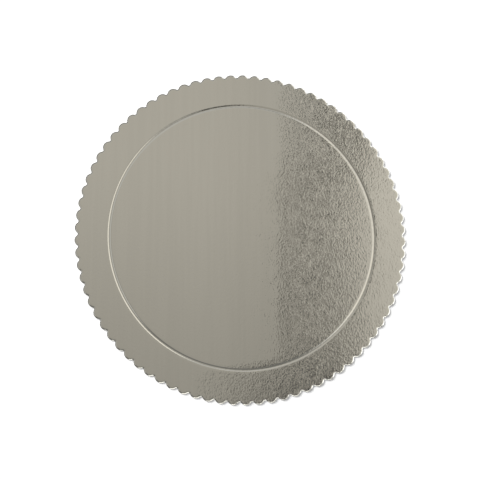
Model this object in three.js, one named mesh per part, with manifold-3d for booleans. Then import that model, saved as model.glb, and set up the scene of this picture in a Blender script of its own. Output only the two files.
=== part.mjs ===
// Round cake board: one die-cut disc of card with a foil face, a scalloped edge and a pressed ring.
// Millimetres, +Z up. The origin is the centre of the underside, so the board lies on z = 0.
import * as THREE from "three";
import { mergeVertices } from "three/addons/utils/BufferGeometryUtils.js";
import Module from "manifold-3d";

// Driving sizes of the die-cut disc
const boardDiameter = 300; // across the tips of opposite scallops
const boardThickness = 2; // card and foil together
const scallopPitch = 11.5; // tip to tip along the edge, rounded so that a whole number goes round
const notchDepth = 2.75; // from the circle of the tips in to the bottom of a notch
const notchRadius = 1.5; // round bottom of each notch

// Driving sizes of what the press leaves in the face
const rimWidth = 1.1; // how far in from the cut edge the face is pressed over
const rimDrop = 0.65; // how far the pressed rim falls below the face
const ringInset = 30; // from the circle of the tips in to the middle of the pressed ring
const ringWidth = 3.6; // across the pressed ring at the face
const ringDepth = 0.48; // at the middle of the pressed ring

// Finish of the foil
const foilColour = 0xa5a091;
const foilMetalness = 0.9;
const foilRoughness = 0.35;

// Straight runs that stand for each curve
const scallopSteps = 6; // along one scallop
const notchSteps = 3; // round the bottom of one notch
const rimSteps = 1; // over the pressed rim, which falls in one plain slope
const ringSteps = 4; // across the pressed ring
const ringTurns = 164; // round the pressed ring

const cutterReach = 1; // how far a cutting shape stands past the surface that it cuts
const weldDistance = 0.0001; // vertices closer than this are one vertex

const tipRadius = boardDiameter / 2;

// Points along an arc, without its last point, which is the first point of the arc that follows
function arcPoints(centre, radius, fromAngle, toAngle, steps) {
  return Array.from({ length: steps }, (_, step) => {
    const angle = fromAngle + ((toAngle - fromAngle) * step) / steps;
    const spoke = new THREE.Vector2(Math.cos(angle), Math.sin(angle));
    return spoke.multiplyScalar(radius).add(centre);
  });
}

function pointAt(distance, angle) {
  return new THREE.Vector2(Math.cos(angle), Math.sin(angle)).multiplyScalar(distance);
}

// The cut edge: a round arc for each scallop, running smoothly into a small hollow arc at each notch
function scallopedOutline() {
  const scallopCount = Math.round((Math.PI * boardDiameter) / scallopPitch);
  const halfPitch = Math.PI / scallopCount;
  const notchCentre = tipRadius - notchDepth + notchRadius; // from the middle of the board
  const along = notchCentre * Math.cos(halfPitch); // the notch's centre, seen along a scallop's own axis
  const across = notchCentre * Math.sin(halfPitch);

  // The one radius whose arc passes through the tip and touches the notch arcs on both sides
  const tipToNotch = (tipRadius - along) ** 2 + across ** 2;
  const scallopRadius = (tipToNotch - notchRadius ** 2) / (2 * (tipRadius - along + notchRadius));
  const scallopCentre = tipRadius - scallopRadius;
  const scallopSweep = Math.atan2(across, along - scallopCentre); // from the tip to where the arcs meet
  const notchSweep = scallopSweep - halfPitch; // from where they meet to the bottom of the notch

  const points = [];
  for (let index = 0; index < scallopCount; index++) {
    const tipAngle = (2 * index + 1) * halfPitch;
    const notchAngle = tipAngle + halfPitch;
    const inward = notchAngle + Math.PI;
    points.push(
      ...arcPoints(
        pointAt(scallopCentre, tipAngle),
        scallopRadius,
        tipAngle - scallopSweep,
        tipAngle + scallopSweep,
        scallopSteps,
      ),
      ...arcPoints(
        pointAt(notchCentre, notchAngle),
        notchRadius,
        inward + notchSweep,
        inward - notchSweep,
        notchSteps,
      ),
    );
  }
  return new THREE.Shape(points);
}

// The disc with its face at the top and its rim pressed over. The lower slope that comes with
// the upper one lies wholly under the underside, where it is cut off.
function discGeometry() {
  const disc = new THREE.ExtrudeGeometry(scallopedOutline(), {
    depth: boardThickness,
    bevelEnabled: true,
    bevelSize: rimWidth,
    bevelOffset: -rimWidth,
    bevelThickness: rimDrop,
    bevelSegments: rimSteps,
  });
  return disc.translate(0, 0, -rimDrop);
}

// Everything below the underside
function underfloorGeometry() {
  const width = boardDiameter + 2 * cutterReach;
  const height = 2 * rimDrop + cutterReach;
  return new THREE.BoxGeometry(width, width, height).translate(0, 0, -height / 2);
}

// The nose of the press: a ring whose underside is a shallow arc, sunk into the face
function ringPressGeometry() {
  const ringRadius = tipRadius - ringInset;
  const halfWidth = ringWidth / 2;
  const noseRadius = (halfWidth ** 2 + ringDepth ** 2) / (2 * ringDepth);
  const noseCentre = new THREE.Vector2(ringRadius, boardThickness - ringDepth + noseRadius);
  const noseSweep = Math.atan2(halfWidth, noseRadius - ringDepth);
  const straightDown = -Math.PI / 2;
  const top = boardThickness + cutterReach;
  const profile = [
    new THREE.Vector2(ringRadius - halfWidth, top),
    ...arcPoints(
      noseCentre,
      noseRadius,
      straightDown - noseSweep,
      straightDown + noseSweep,
      ringSteps,
    ),
    new THREE.Vector2(ringRadius + halfWidth, boardThickness),
    new THREE.Vector2(ringRadius + halfWidth, top),
    new THREE.Vector2(ringRadius - halfWidth, top),
  ];
  return new THREE.LatheGeometry(profile, ringTurns).rotateX(Math.PI / 2);
}

const wasm = await Module();
wasm.setup();

function solidOf(geometry) {
  geometry.deleteAttribute("normal");
  geometry.deleteAttribute("uv");
  const welded = mergeVertices(geometry, weldDistance);
  return new wasm.Manifold(
    new wasm.Mesh({
      numProp: 3,
      vertProperties: welded.attributes.position.array,
      triVerts: new Uint32Array(welded.index.array),
    }),
  );
}

function geometryOf(solid) {
  const mesh = solid.getMesh();
  const geometry = new THREE.BufferGeometry();
  geometry.setAttribute("position", new THREE.BufferAttribute(mesh.vertProperties, mesh.numProp));
  geometry.setIndex(new THREE.BufferAttribute(mesh.triVerts, 1));
  return geometry;
}

function cakeBoard() {
  const solid = solidOf(discGeometry())
    .subtract(solidOf(underfloorGeometry()))
    .subtract(solidOf(ringPressGeometry()));
  const foil = new THREE.MeshStandardMaterial({
    color: foilColour,
    metalness: foilMetalness,
    roughness: foilRoughness,
    flatShading: true,
  });
  const board = new THREE.Mesh(geometryOf(solid), foil);
  board.name = "cake_board";
  return board;
}

const model = new THREE.Group();
model.add(cakeBoard());

export default model;
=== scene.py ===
# Round cake board with a silver foil face and a scalloped edge, lying on a pale surface.
from math import cos, pi, radians, sin

import bpy
from mathutils import Matrix, Vector


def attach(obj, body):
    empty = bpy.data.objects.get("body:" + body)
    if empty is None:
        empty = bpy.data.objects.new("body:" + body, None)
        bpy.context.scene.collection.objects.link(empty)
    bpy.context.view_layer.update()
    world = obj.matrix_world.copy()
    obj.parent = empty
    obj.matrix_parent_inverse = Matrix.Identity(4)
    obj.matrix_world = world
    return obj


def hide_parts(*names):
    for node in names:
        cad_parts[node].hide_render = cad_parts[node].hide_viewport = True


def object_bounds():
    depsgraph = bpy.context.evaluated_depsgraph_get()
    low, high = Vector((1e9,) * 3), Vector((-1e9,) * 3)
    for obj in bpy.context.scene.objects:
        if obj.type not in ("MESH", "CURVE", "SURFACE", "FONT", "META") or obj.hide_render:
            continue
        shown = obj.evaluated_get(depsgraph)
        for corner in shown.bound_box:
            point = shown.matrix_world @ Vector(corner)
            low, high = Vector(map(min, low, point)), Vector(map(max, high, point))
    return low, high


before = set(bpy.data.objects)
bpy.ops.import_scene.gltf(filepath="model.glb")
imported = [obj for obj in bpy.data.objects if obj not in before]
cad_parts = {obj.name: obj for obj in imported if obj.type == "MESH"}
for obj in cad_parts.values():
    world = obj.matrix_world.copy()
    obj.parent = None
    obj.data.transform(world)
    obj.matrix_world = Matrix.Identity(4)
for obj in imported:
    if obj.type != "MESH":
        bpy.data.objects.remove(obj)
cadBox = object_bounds()
cadLow, cadHigh = cadBox
mm = 0.001  # lengths are in metres where no note says millimetres
print("frame loaded:", sorted(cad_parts))


# Node helpers

def plug(tree, socket, value):
    if isinstance(value, Term):
        value = value.socket
    if isinstance(value, bpy.types.NodeSocket):
        tree.links.new(value, socket)
    else:
        socket.default_value = value


def addNode(tree, kind, inputs=None, **settings):
    node = tree.nodes.new(kind)
    for name, value in settings.items():
        setattr(node, name, value)
    for name, value in (inputs or {}).items():
        plug(tree, node.inputs[name], value)
    return node


class Term:  # a node's output that plain arithmetic can be written with
    def __init__(self, tree, socket):
        self.tree = tree
        self.socket = socket

    def maths(self, operation, *values):
        node = addNode(self.tree, "ShaderNodeMath", operation=operation)
        for socket, value in zip(node.inputs, values):
            plug(self.tree, socket, value)
        return Term(self.tree, node.outputs[0])

    def __add__(self, other):
        return self.maths("ADD", self, other)

    def __sub__(self, other):
        return self.maths("SUBTRACT", self, other)

    def __rsub__(self, other):
        return self.maths("SUBTRACT", other, self)

    def __rtruediv__(self, other):
        return self.maths("DIVIDE", other, self)

    def __mul__(self, other):
        return self.maths("MULTIPLY", self, other)

    def __truediv__(self, other):
        return self.maths("DIVIDE", self, other)

    def __mod__(self, other):
        return self.maths("FLOORED_MODULO", self, other)

    def __gt__(self, other):
        return self.maths("GREATER_THAN", self, other)

    def __lt__(self, other):
        return self.maths("LESS_THAN", self, other)

    def run(self, operation, *others):
        return self.maths(operation, self, *others)

    def pick(self, atZero, atOne):  # mixes the two where self lies between 0 and 1
        return self.blend(0.0, 1.0, atZero, atOne, "LINEAR")

    def blend(self, fromLow, fromHigh, toLow, toHigh, curve="SMOOTHSTEP"):
        node = addNode(self.tree, "ShaderNodeMapRange", interpolation_type=curve, clamp=True)
        for socket, value in zip(node.inputs, (self, fromLow, fromHigh, toLow, toHigh)):
            plug(self.tree, socket, value)
        return Term(self.tree, node.outputs[0])


def mixColours(tree, share, first, second):
    mix = addNode(tree, "ShaderNodeMix", data_type="RGBA")
    for name, value in (("Factor_Float", share), ("A_Color", first), ("B_Color", second)):
        socket = next(socket for socket in mix.inputs if socket.identifier == name)
        plug(tree, socket, value)
    return next(socket for socket in mix.outputs if socket.identifier == "Result_Color")


def newGroup(name, kind, inputs, outputs):
    tree = bpy.data.node_groups.new(name, kind)
    for inOut, sockets in (("INPUT", inputs), ("OUTPUT", outputs)):
        for label, socketType in sockets.items():
            tree.interface.new_socket(label, in_out=inOut, socket_type=socketType)
    given = addNode(tree, "NodeGroupInput")
    result = addNode(tree, "NodeGroupOutput")
    return tree, given, result


def newMaterial(name):
    material = bpy.data.materials.new(name)
    material.use_nodes = True
    tree = material.node_tree
    tree.nodes.clear()
    shader = addNode(tree, "ShaderNodeBsdfPrincipled")
    output = addNode(tree, "ShaderNodeOutputMaterial")
    tree.links.new(shader.outputs[0], output.inputs["Surface"])
    return material, tree, shader


# Camera: looks down on the board from a little to the left and in front of it

camera = {  # millimetres
    "position": (-66.7, -84.6, 590.7),
    "target": (-4.05, -4.87, 2.0),
    "uprightTurn": 0.535,  # degrees, so that the scallops meet the picture as they should
    "lens": 49.84,  # millimetres, and so is the sensor's width
    "sensor": 36.0,
    "clip": (0.01, 20.0),  # metres
}


def addCamera():
    data = bpy.data.cameras.new("camera")
    data.lens = camera["lens"]
    data.sensor_width = camera["sensor"]
    seat = bpy.data.objects.new("camera", data)
    bpy.context.scene.collection.objects.link(seat)
    position = Vector(camera["position"]) * mm
    back = (position - Vector(camera["target"]) * mm).normalized()
    turn = radians(camera["uprightTurn"])
    upright = Vector((sin(turn), cos(turn), 0.0))
    right = upright.cross(back).normalized()
    up = back.cross(right)
    seat.matrix_world = Matrix.Translation(position) @ Matrix((right, up, back)).transposed().to_4x4()
    data.clip_start, data.clip_end = camera["clip"]
    bpy.context.scene.camera = seat


addCamera()
print("camera set")


# Surface that the board lies on, and the light

stage = {
    "floorSize": 6.0,
    "floorColour": (0.8, 0.8, 0.8, 1.0),
    "floorRoughness": 0.9,
    "floorLift": 0.15,  # added where the camera or a reflection sees the floor, so that it is white
    "floorGap": 0.02 * mm,
    "lampWay": (-1.79, 1.50, 1.42),  # from the board towards the lamp
    "lampWidth": 27.0,  # degrees that it takes up in the sky, which softens the shadow
    "lampPower": 4.7,
    "roomLight": 0.4,  # what the room gives to everything but mirrors
}


def seenDirectly(tree):  # 1 for what the camera, a reflection or a glass sees
    rays = addNode(tree, "ShaderNodeLightPath").outputs
    seen = Term(tree, rays["Is Camera Ray"])
    return seen.run("MAXIMUM", rays["Is Glossy Ray"]).run("MAXIMUM", rays["Is Transmission Ray"])


def addFloor():
    mesh = bpy.data.meshes.new("floor")
    half = stage["floorSize"] / 2
    low = cadLow.z - stage["floorGap"]
    corners = [(-half, -half, low), (half, -half, low), (half, half, low), (-half, half, low)]
    mesh.from_pydata(corners, [], [(0, 1, 2, 3)])
    floor = bpy.data.objects.new("floor", mesh)
    bpy.context.scene.collection.objects.link(floor)
    material, tree, shader = newMaterial("floorPaper")
    shader.inputs["Base Color"].default_value = stage["floorColour"]
    shader.inputs["Roughness"].default_value = stage["floorRoughness"]
    shader.inputs["Specular IOR Level"].default_value = 0.0
    shader.inputs["Emission Color"].default_value = (1.0, 1.0, 1.0, 1.0)
    lift = seenDirectly(tree) * stage["floorLift"]
    plug(tree, shader.inputs["Emission Strength"], lift)
    mesh.materials.append(material)


def addLamp():
    data = bpy.data.lights.new("keyLamp", "SUN")
    data.angle = radians(stage["lampWidth"])
    data.energy = stage["lampPower"]
    lamp = bpy.data.objects.new("keyLamp", data)
    bpy.context.scene.collection.objects.link(lamp)
    way = Vector(stage["lampWay"])
    lamp.location = way
    lamp.rotation_euler = way.to_track_quat("Z", "Y").to_euler()
    lamp.visible_glossy = False  # the foil mirrors the room alone


# What the foil mirrors: a grey ceiling with a dark striped gap in it, and plain walls that are
# brighter to the right and darker towards the viewer. Low down they turn dark, but for one bright
# strip to the right and a narrower one towards the viewer. Places on the ceiling are slopes, how
# far across or away for each metre up. On the walls, lean is the sine of the angle from straight
# up, and a side is its degrees round from +X with the cosines at which it starts and is complete.
room = {
    "warm": (1.0, 1.0, 1.0, 1.0),
    "cool": (0.97, 1.0, 1.05, 1.0),
    "clear": (0.95, 1.0, 1.15, 1.0),  # the low strip to the right
    "coolShare": 0.6,  # of the cool tint, at the right of the ceiling
    "coolEnds": (0.12, 0.24),
    "ceiling": (0.62, 0.84),  # from the near end to the far end
    "ceilingEnds": (-0.16, 0.30),
    "leftShade": 0.45,  # how much darker the ceiling's left end is
    "leftShadeEnds": (-0.36, -0.20),
    "rightLift": 0.33,  # how much brighter its right end is
    "rightLiftEnds": (0.23, 0.34),
    "gapLevels": (0.0, 1.0),  # in its dark and light stripes, where the ceiling beside it is 1
    "gapLeft": (0.130, 0.189, 0.217),  # near end, middle, far end
    "gapRight": (0.33, 0.263, 0.33),
    "gapBends": (-0.09, -0.05, 0.18, 0.34),  # away: near end, middle from and to, far end
    "gapSoftLeft": (0.09, 0.012),  # near end, then the rest
    "gapSoftRight": 0.035,
    "gapStripes": 20.0,  # how many go to one unit of slope
    "gapWobble": 1.5,  # stripes
    "gapWobbleScale": 10.0,
    "gapWobbleDetail": 1.0,
    "gapDark": 0.32,  # half of the dark stripe's share
    "gapEdge": 0.02,
    "gapShade": 0.05,  # how much darker the ceiling gets on the way to the gap
    "gapShadeEnds": (0.06, 0.13),
    "leastRise": 0.05,  # directions that rise less than this are taken to rise this much
    "leastLean": 0.001,
    "wallStart": (0.45, 0.56),  # lean
    "wallLevel": 0.94,
    "darkSide": (275.0, 0.35, 0.70),
    "darkSideLevel": 0.33,
    "brightSide": (16.0, 0.64, 0.82),
    "brightSideLevel": 1.65,
    "brightFoot": (8.0, 0.45, 0.74),  # its lower part, which reaches further round
    "brightFootLevel": 1.55,
    "brightFootStart": (0.68, 0.76),
    "brightEnd": (0.84, 0.90),  # where both are gone again
    "lowDarkLevel": 0.26,
    "lowDarkStart": (0.85, 0.92),
    "rightStrip": (18.0, 0.574, 0.766),
    "rightStripLevel": 3.6,
    "rightStripStart": (0.905, 0.981),  # at its near end, at its far end
    "rightStripSoft": 0.012,
    "rightStripTurn": (50.0, 0.15, 0.90),  # the side that counts as its far end
    "nearStrip": (298.0, 0.61, 0.79),
    "nearStripLevel": 3.4,
    "nearStripStart": (0.885, 0.905),
    "nearStripEnd": (0.935, 0.95),
}


def gapBorder(away, near, middle, far):
    nearBend, nearTurn, farTurn, farBend = room["gapBends"]
    place = away.blend(nearBend, nearTurn, near, middle)
    return place + away.blend(farTurn, farBend, 0.0, far - middle)


def ceilingLight(tree, across, away):
    nearBend, nearTurn = room["gapBends"][:2]
    softLeft = away.blend(nearBend, nearTurn, *room["gapSoftLeft"])
    softRight = room["gapSoftRight"]
    gap = ((across - gapBorder(away, *room["gapLeft"])) / softLeft).blend(-1.0, 1.0, 0.0, 1.0)
    gap = gap * (across - gapBorder(away, *room["gapRight"])).blend(-softRight, softRight, 1.0, 0.0)
    spot = addNode(tree, "ShaderNodeCombineXYZ", {"X": across, "Y": away}).outputs[0]
    wobble = addNode(tree, "ShaderNodeTexNoise", {
        "Vector": spot, "Scale": room["gapWobbleScale"], "Detail": room["gapWobbleDetail"],
    })
    wobble = Term(tree, wobble.outputs["Fac"]) * room["gapWobble"]
    stripes = ((across * room["gapStripes"] + wobble) % 1.0 - 0.5).run("ABSOLUTE")
    edge = room["gapEdge"]
    stripes = (stripes - gap * (room["gapDark"] + edge)).blend(-2.0 * edge, 0.0, *room["gapLevels"])
    level = away.blend(*room["ceilingEnds"], *room["ceiling"])
    level = level + across.blend(*room["rightLiftEnds"], 0.0, room["rightLift"])
    level = level * across.blend(*room["leftShadeEnds"], 1.0 - room["leftShade"], 1.0)
    level = level * across.blend(*room["gapShadeEnds"], 1.0, 1.0 - room["gapShade"])
    return level * stripes


# Light of the walls, then where the bright side and the right strip are, as each has its own tint
def wallLight(lean, facing):
    notLow = lean.blend(*room["brightEnd"], 1.0, 0.0)
    brightSide = facing(*room["brightSide"]) * notLow
    brightFoot = facing(*room["brightFoot"]) * lean.blend(*room["brightFootStart"], 0.0, 1.0) * notLow
    walls = facing(*room["darkSide"]).pick(room["wallLevel"], room["darkSideLevel"])
    walls = brightSide.pick(walls, room["brightSideLevel"])
    walls = brightFoot.pick(walls, room["brightFootLevel"])
    rightPlace = facing(*room["rightStrip"])
    start = facing(*room["rightStripTurn"]).pick(*room["rightStripStart"])
    rightStrip = rightPlace * (lean - start).blend(0.0, room["rightStripSoft"], 0.0, 1.0)
    nearStrip = facing(*room["nearStrip"]) * lean.blend(*room["nearStripStart"], 0.0, 1.0)
    nearStrip = nearStrip * lean.blend(*room["nearStripEnd"], 1.0, 0.0)
    lowDark = (1.0 - rightPlace) * lean.blend(*room["lowDarkStart"], 0.0, 1.0)
    walls = lowDark.pick(walls, room["lowDarkLevel"])
    walls = rightStrip.pick(walls, room["rightStripLevel"])
    walls = nearStrip.pick(walls, room["nearStripLevel"])
    return walls, brightSide, rightStrip


def addRoom():
    world = bpy.data.worlds.new("room")
    bpy.context.scene.world = world
    world.use_nodes = True
    tree = world.node_tree
    tree.nodes.clear()
    rays = addNode(tree, "ShaderNodeLightPath").outputs
    glossy, direct = Term(tree, rays["Is Glossy Ray"]), Term(tree, rays["Is Camera Ray"])
    way = addNode(tree, "ShaderNodeTexCoord").outputs["Generated"]
    parts = addNode(tree, "ShaderNodeSeparateXYZ", {"Vector": way}).outputs
    x, y, z = (Term(tree, part) for part in parts)
    up = z.run("MAXIMUM", room["leastRise"])
    across, away = x / up, y / up
    lean = (x * x + y * y).run("SQRT").run("MAXIMUM", room["leastLean"])

    def facing(degrees, start, complete):  # 1 on that side of the room and 0 away from it
        side = radians(degrees)
        return ((x * cos(side) + y * sin(side)) / lean).blend(start, complete, 0.0, 1.0)

    walls, brightSide, rightStrip = wallLight(lean, facing)
    onWalls = lean.blend(*room["wallStart"], 0.0, 1.0)
    mirrored = onWalls.pick(ceilingLight(tree, across, away), walls)
    coolness = (1.0 - brightSide.run("MAXIMUM", rightStrip)) * glossy
    coolness = coolness * onWalls.pick(across.blend(*room["coolEnds"], 0.0, room["coolShare"]), 1.0)
    colour = mixColours(tree, coolness, room["warm"], room["cool"])
    colour = mixColours(tree, rightStrip * glossy, colour, room["clear"])
    strength = glossy.pick(direct.pick(stage["roomLight"], 1.0), mirrored)
    glow = addNode(tree, "ShaderNodeBackground", {"Color": colour, "Strength": strength})
    output = addNode(tree, "ShaderNodeOutputWorld")
    tree.links.new(glow.outputs[0], output.inputs["Surface"])


addFloor()
addLamp()
addRoom()
bpy.context.scene.view_settings.view_transform = "Standard"
print("floor and light set")


# Board: a profile turned round a scalloped outline

board = {
    "tipRadius": cadHigh.y,  # the CAD model's own radius and thickness
    "thickness": cadHigh.z - cadLow.z,
    "scallops": 82,
    "notchDepth": 2.75 * mm,
    "notchRadius": 1.5 * mm,
    "rimWidth": 1.1 * mm,
    "rimDrop": 0.65 * mm,
    "shoulderWidth": 1.4 * mm,  # where the face eases over before the pressed rim
    "shoulderDrop": 0.04 * mm,
    "ringInset": 30.0 * mm,
    "ringWidth": 3.6 * mm,
    "ringDepth": 0.48 * mm,
    "cutRounding": 0.12 * mm,  # softened corners of the cut edge
    "cutBevel": 0.2,  # of that rounding, how much the upper corner is cut back
    "scallopReach": 4.5 * mm,  # further in than this the turn is plainly round
    "flatInsets": (0.9, 2.0),  # rows of points on the flats, in scallop reaches in from the edge
    "middleInsets": (0.4, 0.9),  # the same inside the ring, in radii
    "cutLean": 0.1,  # surfaces whose normal rises less than this are cut edge
    "underLean": -0.9,  # and less than this, underside
    "scallopSteps": 14,
    "notchSteps": 8,
    "cornerSteps": 3,
    "shoulderSteps": 5,
    "ringSteps": 18,
    "weld": 0.002 * mm,
    "indexNudge": 0.0001,  # keeps a whole number from being rounded down to the one before
}


# Pairs of distance in from the edge and height, from the underside's middle round to the face's
def boardProfile():
    radius, top = board["tipRadius"], board["thickness"]
    rimWidth, rounding = board["rimWidth"], board["cutRounding"]
    flats = [share * board["scallopReach"] for share in board["flatInsets"]]
    nearMiddle, ringSide = max(board["middleInsets"]) * radius, min(board["middleInsets"]) * radius
    profile = [(inset, 0.0) for inset in (radius, nearMiddle, *reversed(flats), rimWidth)]
    for step in range(board["cornerSteps"] + 1):
        angle = pi / 2 * step / board["cornerSteps"]
        profile.append((rounding * (1 - sin(angle)), rounding * (1 - cos(angle))))

    # Cut edge, its upper corner, and the pressed rim in one slope
    wallTop = top - board["rimDrop"]
    slope = (top - board["shoulderDrop"] - wallTop) / rimWidth
    bevel = board["cutBevel"] * rounding
    profile += [(0.0, wallTop / 2), (0.0, wallTop - rounding), (bevel, wallTop - bevel)]
    profile += [(inset, wallTop + slope * inset - bevel) for inset in (rounding, rimWidth / 2)]

    # Shoulder, flat, pressed ring and the flat inside it
    for step in range(board["shoulderSteps"] + 1):
        share = step / board["shoulderSteps"]
        drop = board["shoulderDrop"] * (1 - share) ** 2
        profile.append((rimWidth + board["shoulderWidth"] * share, top - drop))
    ringHalf = board["ringWidth"] / 2
    ringStart = board["ringInset"] - ringHalf
    profile += [(inset, top) for inset in (*flats, ringStart - ringHalf)]
    for step in range(board["ringSteps"] + 1):
        share = step / board["ringSteps"]
        dip = board["ringDepth"] * (1 - cos(2 * pi * share)) / 2
        profile.append((ringStart + 2 * ringHalf * share, top - dip))
    profile += [(inset, top) for inset in (ringStart + 3 * ringHalf, ringSide, nearMiddle, radius)]
    return profile


# A grid with one column for each step round the edge and one row for each point of the profile
def profileGrid(tree, profile, values):
    steps = values["Scallop Steps"] + values["Notch Steps"]
    size = addNode(tree, "GeometryNodeAttributeDomainSize", {"Geometry": profile})
    rows = Term(tree, size.outputs["Point Count"])
    grid = addNode(tree, "GeometryNodeMeshGrid", {
        "Vertices X": steps * values["Scallops"] + 1,
        "Vertices Y": rows,
    })
    index = Term(tree, addNode(tree, "GeometryNodeInputIndex").outputs[0])
    column = (index / rows + board["indexNudge"]).run("FLOOR")
    row = index - column * rows
    place = addNode(tree, "GeometryNodeInputPosition").outputs[0]
    point = addNode(tree, "GeometryNodeSampleIndex", data_type="FLOAT_VECTOR")
    tree.links.new(profile, point.inputs["Geometry"])
    plug(tree, point.inputs["Value"], place)
    plug(tree, point.inputs["Index"], row)
    drawn = addNode(tree, "ShaderNodeSeparateXYZ", {"Vector": point.outputs["Value"]}).outputs
    return grid.outputs["Mesh"], column, Term(tree, drawn["X"]), Term(tree, drawn["Z"])


# Where a column meets the outline, drawn in by the profile's distance. A scallop's arc passes
# through its tip and touches the notch arcs on both sides.
def scallopedPlace(tree, values, column, inset):
    tipRadius, notchRadius = values["Tip Radius"], values["Notch Radius"]
    halfPitch = Term(tree, addNode(tree, "ShaderNodeValue").outputs[0])
    halfPitch.socket.default_value = pi
    halfPitch = halfPitch / values["Scallops"]
    notchCentre = tipRadius - values["Notch Depth"] + notchRadius
    along = notchCentre * halfPitch.run("COSINE")
    acrossWay = notchCentre * halfPitch.run("SINE")
    drop = tipRadius - along
    tipToNotch = drop * drop + acrossWay * acrossWay  # squared
    scallopRadius = (tipToNotch - notchRadius * notchRadius) / ((drop + notchRadius) * 2.0)
    scallopCentre = tipRadius - scallopRadius
    scallopSweep = acrossWay.run("ARCTAN2", along - scallopCentre)
    notchSweep = scallopSweep - halfPitch

    steps = values["Scallop Steps"] + values["Notch Steps"]
    number = (column / steps + board["indexNudge"]).run("FLOOR")
    step = column - number * steps
    tipAngle = (number * 2.0 + 1.0) * halfPitch
    notchAngle = tipAngle + halfPitch
    onNotch = step > (values["Scallop Steps"] - 0.5)
    scallopShare = step / values["Scallop Steps"] * 2.0 - 1.0
    notchShare = (step - values["Scallop Steps"]) / values["Notch Steps"] * 2.0 - 1.0
    scallopTurn = tipAngle + scallopSweep * scallopShare
    notchTurn = notchAngle + pi - notchSweep * notchShare
    angle = onNotch.pick(scallopTurn, notchTurn)
    centreAngle = onNotch.pick(tipAngle, notchAngle)
    centre = onNotch.pick(scallopCentre, notchCentre)
    drawnIn = inset.run("MINIMUM", values["Scallop Reach"])
    arc = onNotch.pick(scallopRadius - drawnIn, notchRadius + drawnIn)
    edgeX = centre * centreAngle.run("COSINE") + arc * angle.run("COSINE")
    edgeY = centre * centreAngle.run("SINE") + arc * angle.run("SINE")
    turned = edgeY.run("ARCTAN2", edgeX)
    plainRadius = tipRadius - inset
    plain = inset > values["Scallop Reach"]
    x = plain.pick(edgeX, plainRadius * turned.run("COSINE"))
    return x, plain.pick(edgeY, plainRadius * turned.run("SINE"))


# Foil on the face and the rim, bare card on the cut edge, paper underneath
def paintBoard(tree, given, values, shape):
    normal = addNode(tree, "GeometryNodeInputNormal").outputs[0]
    lean = Term(tree, addNode(tree, "ShaderNodeSeparateXYZ", {"Vector": normal}).outputs["Z"])
    cutEdge, underside = lean < values["Cut Lean"], lean < values["Under Lean"]
    for name, where in (("Face", True), ("Cut Edge", cutEdge), ("Underside", underside)):
        painted = addNode(tree, "GeometryNodeSetMaterial", {"Geometry": shape, "Selection": where})
        tree.links.new(given.outputs[name], painted.inputs["Material"])
        shape = painted.outputs[0]
    return shape


def scallopedTurn():
    numbers = ["Tip Radius", "Notch Depth", "Notch Radius", "Scallop Reach", "Weld Distance"]
    numbers += ["Cut Lean", "Under Lean"]
    counts = ["Scallops", "Scallop Steps", "Notch Steps"]
    materials = ["Face", "Cut Edge", "Underside"]
    inputs = {"Profile": "NodeSocketGeometry"}
    inputs |= {name: "NodeSocketFloat" for name in numbers}
    inputs |= {name: "NodeSocketInt" for name in counts}
    inputs |= {name: "NodeSocketMaterial" for name in materials}
    outputs = {"Board": "NodeSocketGeometry"}
    tree, given, result = newGroup("scallopedTurn", "GeometryNodeTree", inputs, outputs)
    values = {name: Term(tree, given.outputs[name]) for name in numbers + counts}
    mesh, column, inset, height = profileGrid(tree, given.outputs["Profile"], values)
    x, y = scallopedPlace(tree, values, column, inset)
    target = addNode(tree, "ShaderNodeCombineXYZ", {"X": x, "Y": y, "Z": height})
    bent = addNode(tree, "GeometryNodeSetPosition", {"Geometry": mesh, "Position": target.outputs[0]})
    closed = addNode(tree, "GeometryNodeMergeByDistance", {
        "Geometry": bent.outputs[0],
        "Distance": values["Weld Distance"],
    })
    smooth = addNode(tree, "GeometryNodeSetShadeSmooth", {"Geometry": closed.outputs[0]})
    made = addNode(tree, "GeometryNodeRealizeInstances", {"Geometry": smooth.outputs[0]})
    painted = paintBoard(tree, given, values, made.outputs[0])
    tree.links.new(painted, result.inputs["Board"])
    return tree


# Finishes

foil = {
    "colour": (0.46, 0.434, 0.366, 1.0),
    "roughness": (0.035, 0.055),
    "crinkleSize": 1.6,  # millimetres
    "crinkleDetail": (2.0, 0.4),  # octaves, distortion
    "crinkleDepth": (0.04 * mm, 0.168 * mm),  # at the left and the right of the board
    "patchSize": 7.0,  # millimetres
    "patchDetail": 1.0,
    "patchCalm": 0.65,  # what is left of the crinkle in its calmest patches
    "patchEnds": (0.38, 0.62),
    "crinkleEnds": (26.0, 44.0),  # millimetres to the right of the middle, where it grows
    "crinkleFar": (90.0, 118.0),  # where it calms again
    "crinkleFarCalm": 0.6,  # what is left of it there
    "crinkleNear": (-124.0, -106.0),  # Y in millimetres, nearer than which it grows
    "crinkleNearShift": 78.0,  # this much further to the left
    "crinkleStretch": 0.72,  # less than 1 draws the crinkle out along Y, the way the foil was rolled
    "rollWidth": 4.0,  # millimetres
    "rollDetail": 2.0,
    "rollStretch": 0.04,
    "rollShade": 0.012,  # how much the rolling streaks change the foil's brightness
    "rollEnds": (0.3, 0.7),
}

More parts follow.
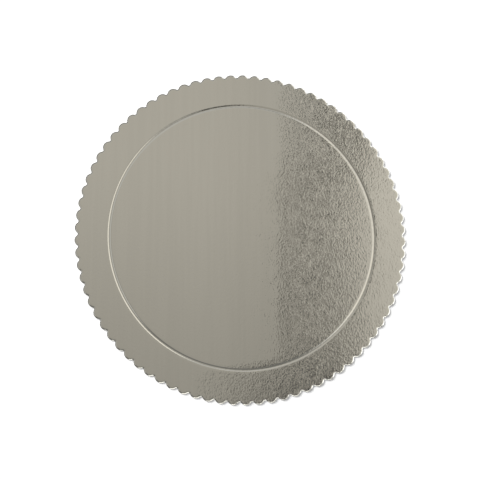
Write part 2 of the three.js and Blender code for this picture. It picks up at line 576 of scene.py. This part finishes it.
card = {
    "edgeColour": ((0.66, 0.64, 0.60, 1.0), (0.50, 0.48, 0.44, 1.0)),  # pale and dark fibres
    "edgeStretch": (0.4, 0.4, 5.0),  # the cut draws the fibres out along the edge
    "underColour": ((0.80, 0.79, 0.76, 1.0), (0.70, 0.685, 0.65, 1.0)),
    "underStretch": (1.0, 1.0, 1.0),
    "fibreSize": 0.9,  # millimetres
    "fibreDetail": 3.0,
    "fibreCurl": 2.5,
    "fibreDepth": 0.02 * mm,
    "threadWidth": 0.06,  # of the noise's range, how much round its middle is thread
    "threadShade": 0.55,
    "threadHeight": 0.3,
    "mottleScale": 0.1,  # of the fibres' own
    "mottleDetail": 1.0,
    "mottleEnds": (0.35, 0.65),
    "mottleShade": 0.45,
    "roughness": (0.80, 0.92),
}


def millimetreCoordinates(tree, stretch=(1.0, 1.0, 1.0)):
    spot = addNode(tree, "ShaderNodeTexCoord").outputs["Object"]
    scale = tuple(value / mm for value in stretch)
    return addNode(tree, "ShaderNodeMapping", {"Vector": spot, "Scale": scale}).outputs[0]


def noise(tree, spot, size, detail, distortion=0.0):
    settings = {"Vector": spot, "Scale": 1.0 / size, "Detail": detail, "Distortion": distortion}
    return Term(tree, addNode(tree, "ShaderNodeTexNoise", settings).outputs["Fac"])


def foilFinish():
    material, tree, shader = newMaterial("silverFoil")
    rollSpot = millimetreCoordinates(tree, (1.0, foil["rollStretch"], 1.0))
    roll = noise(tree, rollSpot, foil["rollWidth"], foil["rollDetail"])
    red, green, blue, opaque = foil["colour"]
    shades = (1 - foil["rollShade"], 1 + foil["rollShade"])
    tints = [(red * share, green * share, blue * share, opaque) for share in shades]
    streaks = roll.blend(*foil["rollEnds"], 0.0, 1.0)
    plug(tree, shader.inputs["Base Color"], mixColours(tree, streaks, *tints))
    plug(tree, shader.inputs["Roughness"], roll.blend(*foil["rollEnds"], *foil["roughness"]))
    crinkleSpot = millimetreCoordinates(tree, (1.0, foil["crinkleStretch"], 1.0))
    crinkle = noise(tree, crinkleSpot, foil["crinkleSize"], *foil["crinkleDetail"])
    plainSpot = millimetreCoordinates(tree)
    place = addNode(tree, "ShaderNodeSeparateXYZ", {"Vector": plainSpot}).outputs
    x, y = Term(tree, place["X"]), Term(tree, place["Y"])
    shallow, deep = foil["crinkleDepth"]
    shift = y.blend(*foil["crinkleNear"], foil["crinkleNearShift"], 0.0)
    growth = (shift + x).blend(*foil["crinkleEnds"], shallow / deep, 1.0)
    growth = growth * x.blend(*foil["crinkleFar"], 1.0, foil["crinkleFarCalm"])
    patches = noise(tree, plainSpot, foil["patchSize"], foil["patchDetail"])
    growth = growth * patches.blend(*foil["patchEnds"], foil["patchCalm"], 1.0)
    height = (crinkle - 0.5) * growth
    bump = addNode(tree, "ShaderNodeBump", {"Height": height, "Distance": deep, "Strength": 1.0})
    plug(tree, shader.inputs["Normal"], bump.outputs[0])
    shader.inputs["Metallic"].default_value = 1.0
    return material


def paperFibre():  # short curled fibres over slow mottling, for any pulp surface
    inputs = {"Vector": "NodeSocketVector", "Size": "NodeSocketFloat"}
    outputs = {"Shade": "NodeSocketFloat", "Height": "NodeSocketFloat"}
    tree, given, result = newGroup("paperFibre", "ShaderNodeTree", inputs, outputs)
    scale = 1.0 / Term(tree, given.outputs["Size"])
    spot = given.outputs["Vector"]
    fibres = addNode(tree, "ShaderNodeTexNoise", {
        "Vector": spot, "Scale": scale, "Detail": card["fibreDetail"], "Distortion": card["fibreCurl"],
    })
    fibres = Term(tree, fibres.outputs["Fac"])
    mottle = addNode(tree, "ShaderNodeTexNoise", {
        "Vector": spot, "Scale": scale * card["mottleScale"], "Detail": card["mottleDetail"],
    })
    mottle = Term(tree, mottle.outputs["Fac"]).blend(*card["mottleEnds"], 0.0, card["mottleShade"])
    threads = (fibres - 0.5).run("ABSOLUTE").blend(0.0, card["threadWidth"], 1.0, 0.0)
    plug(tree, result.inputs["Shade"], threads * card["threadShade"] + mottle)
    plug(tree, result.inputs["Height"], fibres + threads * card["threadHeight"])
    return tree


def cardFinish(name, colours, fibreTree, stretch):
    material, tree, shader = newMaterial(name)
    fibre = addNode(tree, "ShaderNodeGroup", node_tree=fibreTree)
    plug(tree, fibre.inputs["Vector"], millimetreCoordinates(tree, stretch))
    fibre.inputs["Size"].default_value = card["fibreSize"]
    shade = Term(tree, fibre.outputs["Shade"])
    plug(tree, shader.inputs["Base Color"], mixColours(tree, shade, *colours))
    plug(tree, shader.inputs["Roughness"], shade.blend(0.0, 1.0, *card["roughness"]))
    bump = addNode(tree, "ShaderNodeBump", {
        "Height": fibre.outputs["Height"], "Distance": card["fibreDepth"], "Strength": 1.0,
    })
    plug(tree, shader.inputs["Normal"], bump.outputs[0])
    return material


def addBoard():
    mesh = bpy.data.meshes.new("foilBoard")
    points = [(inset, 0.0, height) for inset, height in boardProfile()]
    mesh.from_pydata(points, [(number, number + 1) for number in range(len(points) - 1)], [])
    maker = bpy.data.objects.new("foilBoardMaker", mesh)
    bpy.context.scene.collection.objects.link(maker)
    tree = scallopedTurn()
    fibreTree = paperFibre()
    turn = maker.modifiers.new("turn", "NODES")
    turn.node_group = tree
    values = {
        "Tip Radius": board["tipRadius"],
        "Notch Depth": board["notchDepth"],
        "Notch Radius": board["notchRadius"],
        "Scallop Reach": board["scallopReach"],
        "Weld Distance": board["weld"],
        "Cut Lean": board["cutLean"],
        "Under Lean": board["underLean"],
        "Scallops": board["scallops"],
        "Scallop Steps": board["scallopSteps"],
        "Notch Steps": board["notchSteps"],
        "Face": foilFinish(),
        "Cut Edge": cardFinish("cutCard", card["edgeColour"], fibreTree, card["edgeStretch"]),
        "Underside": cardFinish("plainPaper", card["underColour"], fibreTree, card["underStretch"]),
    }
    for item in tree.interface.items_tree:
        if item.in_out == "INPUT" and item.name in values:
            turn[item.identifier] = values[item.name]
    graph = bpy.context.evaluated_depsgraph_get()
    made = bpy.data.meshes.new_from_object(maker.evaluated_get(graph), depsgraph=graph)
    maker.modifiers.remove(turn)
    bpy.data.objects.remove(maker)
    made.name = "foil_board"
    piece = bpy.data.objects.new("foil_board", made)
    bpy.context.scene.collection.objects.link(piece)
    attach(piece, "root")
    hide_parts("cake_board")
    print("board made:", len(made.vertices), "points,", len(made.polygons), "faces")


addBoard()
